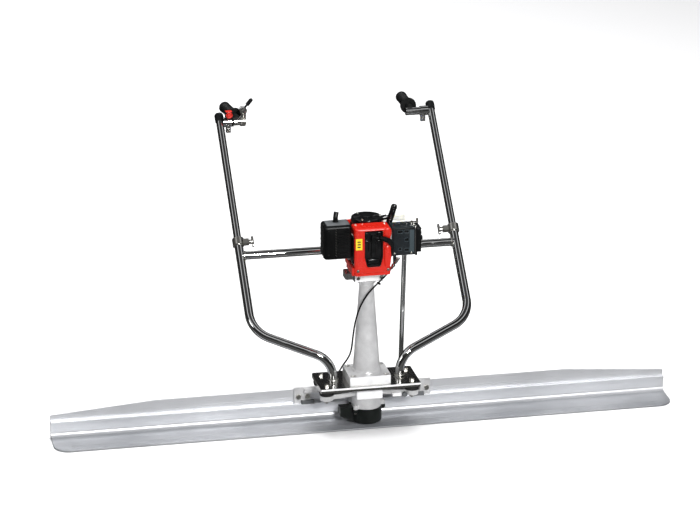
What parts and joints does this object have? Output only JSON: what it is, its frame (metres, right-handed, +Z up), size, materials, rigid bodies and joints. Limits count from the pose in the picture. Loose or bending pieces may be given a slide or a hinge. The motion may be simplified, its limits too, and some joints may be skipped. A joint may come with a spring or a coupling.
{
  "type": "power screed",
  "caption": "Petrol power screed: aluminium blade shaken by an eccentric under a driven column, with a tube handle frame, grips, throttle and a fold-up stand.",
  "frame": {"origin": "middle of the blade's sole, on the ground under the drive column's axis", "axes": "+X along the blade, +Y towards the operator, +Z up"},
  "size_m": [1.8, 0.8091, 0.8124],
  "materials": {
    "blade_aluminium": "extruded, matt along the foot",
    "cast_aluminium": "as cast, satin",
    "machined_aluminium": "machined, bright",
    "chrome_tube": "polished chrome plate",
    "chrome_plate": "chrome plate, satin",
    "zinc_steel": "zinc plated",
    "steel": "ground steel",
    "dark_steel": "black oxide",
    "black_metal": "heat-resistant satin black",
    "black_plastic": "moulded, fine grain",
    "grey_plastic": "moulded, satin",
    "red_plastic": "moulded, glossy",
    "red_button": "moulded, glossy",
    "tank_plastic": "translucent blow-moulded",
    "rubber": "moulded rubber",
    "cable_jacket": "smooth black jacket",
    "foam": "open-cell foam"
  },
  "bodies": {
    "frame": {"blade": "blade_aluminium", "blade_clamp_bars": "dark_steel", "blade_clamp_backs": "cast_aluminium", "exciter_housing": "cast_aluminium", "exciter_cup": "black_metal", "ball_bearings": "steel", "rubber_dampers": "rubber", "base_plate": "chrome_plate", "frame_bolts": "zinc_steel", "drive_column": "cast_aluminium", "clutch_housing": "machined_aluminium", "crankcase": "cast_aluminium", "cylinder": "cast_aluminium", "spark_plug": "zinc_steel", "plug_cover": "black_plastic", "plug_lead": "cable_jacket", "ignition_coil": "black_plastic", "engine_shroud": "red_plastic", "recoil_housing": "black_plastic", "muffler": "black_metal", "carburettor": "cast_aluminium", "air_cleaner_case": "grey_plastic", "air_filter": "foam", "air_cleaner_cover": "black_plastic", "fuel_tank": "tank_plastic", "fuel_hose": "rubber", "handle_tubes": "chrome_tube", "crossbar": "chrome_tube", "clamp_collars": "zinc_steel", "throttle_cable": "cable_jacket"},
    "crank": {"crankshaft": "steel", "flywheel_fan": "cast_aluminium", "clutch_shoes": "steel"},
    "drive": {"eccentric_shaft": "steel", "eccentric_weight": "steel", "coupling_hubs": "steel", "coupling_spider": "rubber", "drive_shaft": "steel", "clutch_drum": "steel"},
    "piston_set": {"piston": "machined_aluminium", "connecting_rod": "steel"},
    "starter_grip": {"starter_handle": "black_plastic"},
    "starter_pulley": {"recoil_pulley": "black_plastic"},
    "carb_throttle": {"throttle_arm": "zinc_steel"},
    "choke": {"choke_lever": "zinc_steel"},
    "tank_cap": {"fuel_cap": "tank_plastic"},
    "clamp_screw_left": {"wing_bolt_left": "zinc_steel"},
    "clamp_screw_right": {"wing_bolt_right": "zinc_steel"},
    "upper_left": {"upper_tube_left": "chrome_tube"},
    "upper_right": {"upper_tube_right": "chrome_tube"},
    "grip_bar_left": {"cross_tube_left": "chrome_tube", "grip_left": "rubber", "throttle_bracket": "zinc_steel", "stop_switch": "black_plastic"},
    "grip_bar_right": {"cross_tube_right": "chrome_tube", "grip_right": "rubber"},
    "lever": {"throttle_lever": "black_plastic"},
    "button": {"stop_button": "red_button"},
    "stand": {"kickstand": "chrome_tube", "kickstand_foot": "rubber"}
  },
  "joints": [
    {"name": "crank_spin", "type": "hinge", "parent": "frame", "child": "crank", "pos_m": [0, 0, 0.56], "axis": [0, 0, 1], "continuous": true},
    {"name": "shaft_spin", "type": "hinge", "parent": "frame", "child": "drive", "pos_m": [0, 0, 0.3], "axis": [0, 0, 1], "continuous": true},
    {"name": "piston_slide", "type": "slide", "parent": "frame", "child": "piston_set", "axis": [0, -1, 0], "range_m": [0, 0.028]},
    {"name": "starter_pull", "type": "slide", "parent": "frame", "child": "starter_grip", "axis": [0.9884, 0, 0.1521], "range_m": [0, 0.6], "stiffness_N_per_m": 20, "springref_m": -0.3},
    {"name": "pulley_spin", "type": "hinge", "parent": "frame", "child": "starter_pulley", "pos_m": [0, 0, 0.609], "axis": [0, 0, 1], "range_deg": [0, 1250]},
    {"name": "throttle_turn", "type": "hinge", "parent": "grip_bar_left", "child": "lever", "pos_m": [-0.249, 0.5761, 0.77794], "axis": [0, 1, 0], "range_deg": [0, 35]},
    {"name": "carb_turn", "type": "hinge", "parent": "frame", "child": "carb_throttle", "pos_m": [0.049, -0.044, 0.53], "axis": [0, 0, -1], "range_deg": [0, 22]},
    {"name": "choke_turn", "type": "hinge", "parent": "frame", "child": "choke", "pos_m": [0.117, -0.05, 0.605], "axis": [0, 0, 1], "range_deg": [-70, 10]},
    {"name": "fuel_cap_turn", "type": "hinge", "parent": "frame", "child": "tank_cap", "pos_m": [0.104, 0.054, 0.593], "axis": [0, 0, 1], "range_deg": [0, 540]},
    {"name": "left_clamp_turn", "type": "hinge", "parent": "frame", "child": "clamp_screw_left", "pos_m": [-0.318, 0.27809, 0.47078], "axis": [1, 0, 0], "range_deg": [0, 720]},
    {"name": "right_clamp_turn", "type": "hinge", "parent": "frame", "child": "clamp_screw_right", "pos_m": [0.318, 0.27809, 0.47078], "axis": [1, 0, 0], "range_deg": [0, 720]},
    {"name": "left_tube_slide", "type": "slide", "parent": "frame", "child": "upper_left", "axis": [0, 0.7314, 0.682], "range_m": [-0.06, 0.1]},
    {"name": "right_tube_slide", "type": "slide", "parent": "frame", "child": "upper_right", "axis": [0, 0.7314, 0.682], "range_m": [-0.06, 0.1]},
    {"name": "left_grip_turn", "type": "hinge", "parent": "upper_left", "child": "grip_bar_left", "pos_m": [-0.296, 0.5721, 0.74494], "axis": [1, 0, 0], "range_deg": [-40, 40]},
    {"name": "right_grip_turn", "type": "hinge", "parent": "upper_right", "child": "grip_bar_right", "pos_m": [0.296, 0.5721, 0.74494], "axis": [1, 0, 0], "range_deg": [-40, 40]},
    {"name": "stop_press", "type": "slide", "parent": "grip_bar_left", "child": "button", "axis": [0, 1, 0], "range_m": [0, 0.003], "stiffness_N_per_m": 300},
    {"name": "stand_fold", "type": "hinge", "parent": "frame", "child": "stand", "pos_m": [0.166, 0.24591, 0.44077], "axis": [1, 0, 0], "range_deg": [0, 120]}
  ],
  "couplings": [
    {"joint": "pulley_spin", "follows": "starter_pull", "rad_per_m": 35},
    {"joint": "carb_turn", "follows": "throttle_turn", "ratio": 0.55}
  ]
}
